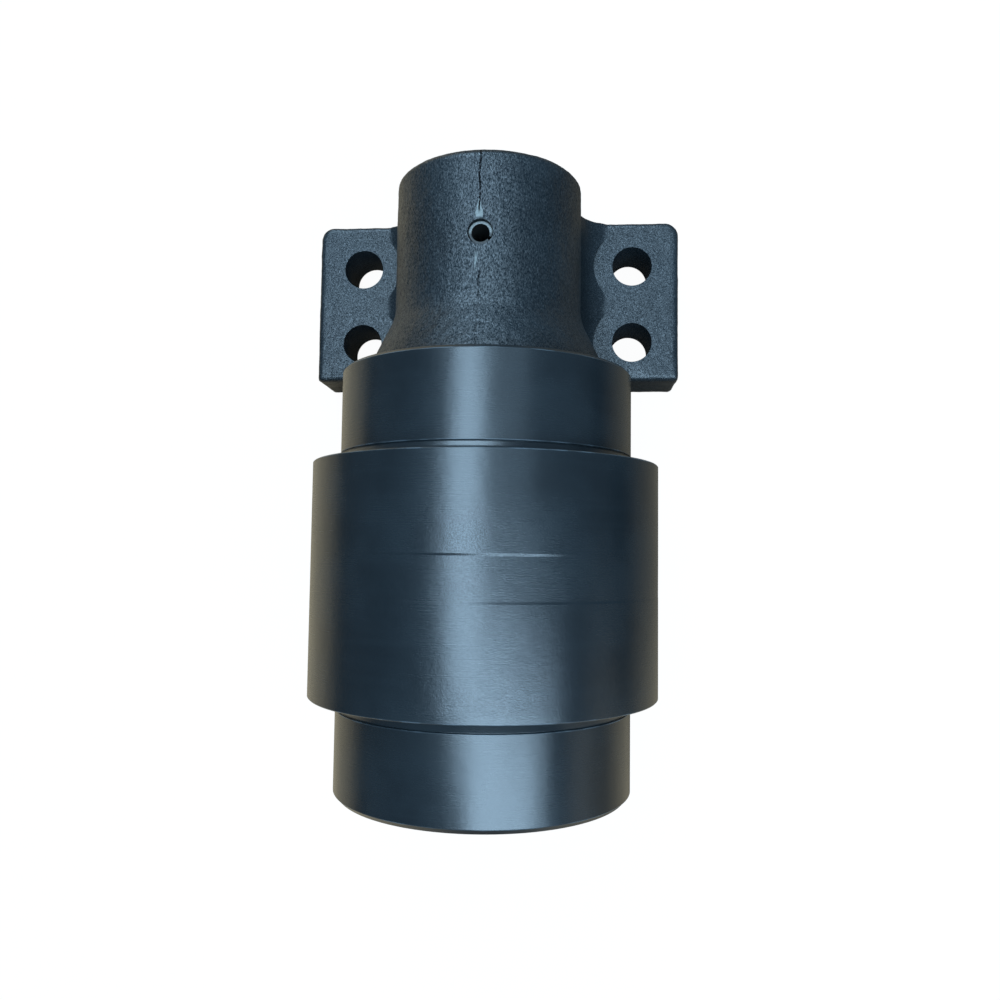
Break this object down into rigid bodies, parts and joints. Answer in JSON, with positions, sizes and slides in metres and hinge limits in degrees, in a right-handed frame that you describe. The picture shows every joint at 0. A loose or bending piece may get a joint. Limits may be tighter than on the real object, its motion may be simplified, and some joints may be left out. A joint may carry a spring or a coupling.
{
  "type": "track roller",
  "caption": "Top track roller: a stepped, sealed shell turning on a shaft that is pinned in a cantilever cast bracket with a flat bolt-on plate.",
  "frame": {"origin": "centre of the four-bolt pattern, on the bracket's flat mounting face", "axes": "+Z from the mounting face up towards the roller's axis, +Y along the roller's axis from its free end towards the bracket's boss, +X across the mounting plate"},
  "size_m": [0.17, 0.252, 0.142],
  "materials": {
    "shell_paint": "semi-gloss black-blue paint over a turned surface",
    "bracket_paint": "satin black-blue paint over a rough cast surface",
    "cover_paint": "satin black-blue paint",
    "plug_paint": "satin black-blue paint",
    "ring_steel": "phosphated spring steel with paint overspray",
    "pin_steel": "dull spring steel with paint overspray",
    "ground_steel": "ground",
    "machined_steel": "turned",
    "zinc_plate": "zinc plated",
    "bronze": "bored bronze",
    "seal_iron": "lapped on the sealing face",
    "nitrile_rubber": "matt",
    "copper": "annealed"
  },
  "bodies": {
    "bracket_side": {"bracket": "bracket_paint", "shaft": "ground_steel", "spring_pin": "pin_steel", "shaft_o_ring": "nitrile_rubber", "seal_ring_fixed": "seal_iron", "seal_toric_fixed": "nitrile_rubber", "inner_thrust_washer": "ground_steel", "outer_thrust_washer": "ground_steel", "retainer_plate": "machined_steel", "lock_washers": "zinc_plate", "retainer_bolts": "zinc_plate"},
    "roller": {"roller_shell": "shell_paint", "inner_bush": "bronze", "outer_bush": "bronze", "seal_ring_turning": "seal_iron", "seal_toric_turning": "nitrile_rubber", "end_cover": "cover_paint", "cover_o_ring": "nitrile_rubber", "snap_ring": "ring_steel", "filler_plug": "plug_paint", "plug_washer": "copper"}
  },
  "joints": [
    {"name": "roller_spin", "type": "hinge", "parent": "bracket_side", "child": "roller", "pos_m": [0, -0.128, 0.067], "axis": [0, 1, 0], "continuous": true}
  ]
}
